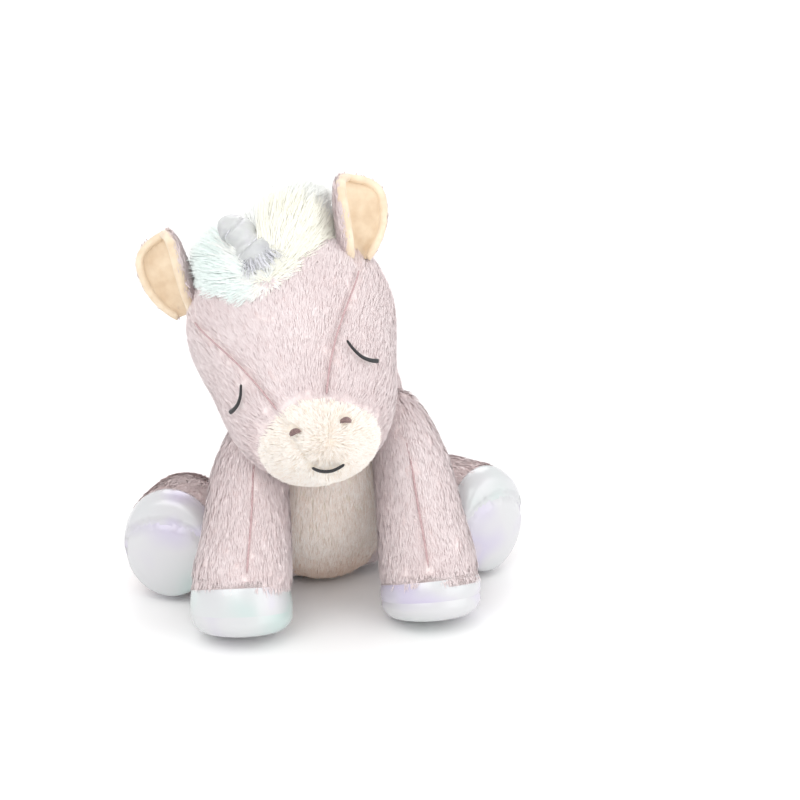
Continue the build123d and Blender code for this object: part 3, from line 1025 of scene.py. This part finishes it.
def leaf_skin(front, back):
    """Closes two sheets into one thin leaf, rounded at its rim."""
    rows, columns = front.shape[:2]
    loop = np.concatenate([front, back[:, ::-1]], 1)
    points = from_head(loop.reshape(-1, 3))
    count = 2 * columns
    cap = []
    for row in (0, rows - 1):
        low, column = row * count, np.arange(columns - 1)
        cap.append(np.stack([low + column, low + column + 1, low + count - 2 - column,
                             low + count - 1 - column], 1))
    quads = np.vstack([strip_faces(rows, count), *cap])
    return made_skin(points, quads, np.zeros((0, 3), int))


def make_ears():
    for side in SIDES:
        body = f"ear_{side}"
        lining = leaf_skin(ear_sheet(side, 1.6), ear_sheet(side, 0.1))
        made = skin_object(f"ear_{side}_lining", lining, LINING)
        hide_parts(f"ear_lining_{side}")
        finish_piece(made, riding(body))
        finish_piece(ear_rim(side), fixing=riding(body))
        outer = leaf_skin(ear_sheet(side, -0.1), ear_sheet(side, -1.3))
        made = skin_object(f"ear_{side}_outer", outer, MAUVE_BACKING)
        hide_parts(f"ear_outer_{side}")
        finish_piece(made, riding(body))
        make_ear_pile(side, outer, body)


def make_ear_pile(side, outer, body):
    """Short pile on the outer face of an ear."""
    inner = from_head(ear_sheet(side, 0.4).reshape(-1, 3))
    beyond = from_head(ear_sheet(side, -2.2).reshape(-1, 3))
    way = np.array(EAR_PLACES[side][1]) @ HEAD_TURN.T

    def keep(points):
        to_inner = ((points[:, None] - inner[None]) ** 2).sum(2).min(1)
        to_beyond = ((points[:, None] - beyond[None]) ** 2).sum(2).min(1)
        return (to_beyond < to_inner) & (depth_in_head(points) < 4)

    # The ear's outer pile takes low, darker shades of the plush: painted shade on the ear's outer face.
    made = pile(f"ear_{side}_pile", outer, MAUVE, lambda p: np.broadcast_to(way, p.shape),
                lambda p: np.full(len(p), 4.0), keep, 3.6, spread=0.7,
                shade=lambda p: 0.35 + 0.2 * lumps(p, 12))
    finish_piece(made, fixing=riding(body))


# ---------------------------------------------------------------- legs
def split_skin(skin, mask, rest=False):
    """The part of a skin whose faces have every point in the mask, or the rest of it."""
    parts = {}
    for kind in ("quads", "fans"):
        faces = skin[kind]
        parts[kind] = faces[mask[faces].all(1) != rest]
    used = np.unique(np.concatenate([parts["quads"].ravel(), parts["fans"].ravel()]))
    renumber = np.full(len(skin["points"]), -1)
    renumber[used] = np.arange(len(used))
    quads, fans = renumber[parts["quads"]], renumber[parts["fans"]]
    triangles = np.vstack([quads[:, [0, 1, 2]], quads[:, [0, 2, 3]], fans])
    return {"points": skin["points"][used], "normals": skin["normals"][used],
            "quads": quads, "fans": fans, "triangles": triangles}


def leg_length(points, limb):
    return limb.reach[limb.nearest(points)]


def make_leg(name, band, sole, seam_angle, materials):
    """A leg: sleeve, shiny hoof band and sole. band and sole are how far along the leg each
    begins."""
    limb = LIMBS[name]
    kind, side = name.rsplit("_", 1)
    hoof = kind.replace("_leg", "_hoof")
    skin = limb.skin()
    places = skin["points"]
    reach = leg_length(places, limb)
    fur_line = np.exp(-((reach - band) / 1.6) ** 2)
    skin = pushed(skin, 0.5 * lumps(places, 26) * (reach < band) - 1.0 * fur_line)
    skin = pushed(skin, -1.3 * np.exp(-((reach - sole) / 0.8) ** 2))
    if kind == "front_leg":
        skin = on_floor(skin)

    def bend(made):
        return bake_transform(made)

    made = skin_object(f"{name}_skin", split_skin(skin, reach < band + 2.5), MAUVE_BACKING)
    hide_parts(f"{kind}_sleeve_{side}", f"{kind}_stuffing_{side}")
    finish_piece(made, bend)
    on_band = (reach > band - 1.5) & (reach < sole)
    made = skin_object(f"{hoof}_{side}_band", split_skin(skin, on_band), PEARL)
    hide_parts(f"{hoof}_cover_{side}")
    finish_piece(made, riding(name))
    made = skin_object(f"{hoof}_{side}_sole", split_skin(skin, reach < sole, rest=True), PEARL_SOLE)
    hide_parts(f"{hoof}_sole_{side}")
    finish_piece(made, riding(name))

    if kind == "front_leg":
        make_leg_seam(name, band, seam_angle, bend)
    make_leg_pile(name, skin, band, seam_angle, materials, bend)


def make_leg_seam(name, band, seam_angle, bend):
    """The seam that shows down the front of a front leg."""
    limb = LIMBS[name]
    line = np.arange(16, np.searchsorted(limb.reach, band - 1))
    turn = np.radians(seam_angle)
    outward = limb.up[line] * np.cos(turn) + limb.across[line] * np.sin(turn)
    surface = limb.centres[line] + outward * limb.half[line].mean(1, keepdims=True)
    seam_object(f"{name}_seam", surface - outward, surface + 2.2 * outward, bend)


def make_leg_pile(name, skin, band, seam_angle, materials, bend):
    limb = LIMBS[name]

    def off_seam(points):
        near = limb.nearest(points)
        off = points - limb.centres[near]
        angle = np.degrees(np.arctan2(dot(off, limb.across[near])[:, 0], dot(off, limb.up[near])[:, 0]))
        gap = np.abs((angle - seam_angle + 180) % 360 - 180)
        return np.radians(gap) * 19

    def nap(points):
        return limb.along[limb.nearest(points)]

    def length(points):
        part = np.exp(-(off_seam(points) / 3) ** 2)
        edge = ease((band + 1 - leg_length(points, limb)) / 14)
        return (4.2 + 1.6 * edge) * (1 - 0.4 * part)

    def shade(points):
        # Darker along the leg's seam: painted shade in the parting of the pile.
        return 0.6 + 0.22 * lumps(points, 20) - 0.35 * np.exp(-(off_seam(points) / 1.8) ** 2)

    def keep(points):
        return (leg_length(points, limb) < band) & (depth_in_torso(points) < 5) \
            & (depth_in_head(points) < 5) & (off_seam(points) > 0.8)

    finish_piece(pile(f"{name}_pile", skin, materials, nap, length, keep, 2.7, shade=shade),
                 fixing=bend)


def make_legs():
    for side in SIDES:
        name = f"front_leg_{side}"
        limb = LIMBS[name]
        total = limb.reach[-1]
        band = total - {"left": 22, "right": 19}[side]
        make_leg(name, band, total - 9, {"left": 0, "right": 12}[side], MAUVE)
        name = f"hind_leg_{side}"
        limb = LIMBS[name]
        total = limb.reach[-1]
        # The hind legs' pile takes the darker copy of the plush, as painted shade.
        make_leg(name, total - 13.5, total - 3.2, 180, SHADED_MAUVE)


# ---------------------------------------------------------------- tail and label
def make_tail():
    root, tip = np.array([2.0, 50.0, 36.0]), np.array([2.0, 76.0, 19.0])
    along = unit(tip - root)
    stations = [(root, along, (0, 0)), (root + along * 3, along, (5, 5)),
                (root + along * 16, along, (6, 6)), (tip, along, (0, 0))]
    limb = Limb(stations, (0, 0, 1))
    skin = limb.skin(32)
    made = skin_object("tail_core", skin, MANE_BACKING)
    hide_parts("tail_tuft")
    finish_piece(made, riding("tail"))

    def nap(points):
        return np.broadcast_to(along + np.array([0, 0, -0.25]), points.shape)

    def shade(points):
        side = points[:, 0] + 4 * lumps(points, 14)
        return np.where(side < -1, 10.0, np.where(side > 6, 20.0, 0.0)) + 0.65

    made = pile("tail_pile", skin, MANE, nap, lambda p: np.full(len(p), 17.0),
                lambda p: depth_in_torso(p) < 3, 5.0, per_tuft=8, spread=1.2, width=0.6,
                lift=(20, 4), shade=shade)
    finish_piece(made, fixing=riding("tail"))


def make_label():
    """A blank folded tape, waved a little along its length."""
    low, high = (np.array(corner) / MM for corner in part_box("care_label"))
    centre = (low + high) / 2
    width, height = 15.0, high[2] - low[2]
    tangent = np.array([np.cos(np.radians(38)), np.sin(np.radians(38)), 0])
    outward = np.array([-tangent[1], tangent[0], 0])
    u, v = np.meshgrid(np.linspace(-0.5, 0.5, 16), np.linspace(0, 1, 24))
    sheets = []
    for layer in (0.35, -0.35):
        wave = layer + 0.5 * np.sin(v * 5) + 4.5 * v
        point = centre + tangent * (u * width)[..., None] + outward * wave[..., None]
        point[..., 2] += height * (0.5 - v)
        sheets.append(point)
    rows, columns = u.shape
    loop = np.concatenate([sheets[0], sheets[1][:, ::-1]], 1)
    faces = strip_faces(rows, 2 * columns)
    skin = made_skin(loop.reshape(-1, 3), faces, np.zeros((0, 3), int))
    made = skin_object("care_label_tape", skin, LABEL_CLOTH)
    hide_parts("care_label")
    finish_piece(made, fixing=riding("torso"))


# ---------------------------------------------------------------- stage
def make_stage():
    half = 3000.0
    corners = np.array([(-half, -half, 0), (half, -half, 0), (half, half, 0), (-half, half, 0)])
    material, principled = shader("studio_floor", 0.9)
    coloured(material, principled, noise(material, 3), [(0.3, (247, 247, 247)), (0.7, (250, 250, 250))])
    floor = new_object("floor", corners, [[0, 1, 2, 3]], [material])
    world = bpy.data.worlds.new("studio")
    world.use_nodes = True
    world.node_tree.nodes["Background"].inputs["Color"].default_value = (1, 1, 1, 1)
    world.node_tree.nodes["Background"].inputs["Strength"].default_value = 0.95
    bpy.context.scene.world = world
    bpy.context.scene.view_settings.view_transform = "Standard"


def make_lamp(name, place, power, size):
    lamp = bpy.data.lights.new(name, "AREA")
    lamp.energy, lamp.size = power, size
    made = bpy.data.objects.new(name, lamp)
    made.location = place
    aim = Vector((0, 0, 0.09)) - Vector(place)
    made.rotation_euler = aim.to_track_quat("-Z", "Y").to_euler()
    bpy.context.scene.collection.objects.link(made)


def make_camera():
    back = Vector((-0.187, -0.921, 0.342)).normalized()
    target = Vector((0.0415, 0.0190, 0.0740))
    camera = bpy.data.cameras.new("camera")
    camera.lens, camera.sensor_width = 120, 36
    camera.clip_start = 0.05
    made = bpy.data.objects.new("camera", camera)
    made.location = target + back * 1.2
    made.rotation_euler = (-back).to_track_quat("-Z", "Y").to_euler()
    bpy.context.scene.collection.objects.link(made)
    bpy.context.scene.camera = made


make_torso()
make_head()
make_horn()
make_ears()
make_legs()
make_tail()
make_label()
make_stage()
make_lamp("key", (-0.7, -1.0, 1.3), 10, 1.4)
make_lamp("fill", (1.0, -0.8, 0.6), 6, 1.4)
make_lamp("rim", (0.2, 1.2, 1.1), 5, 1.0)
make_camera()
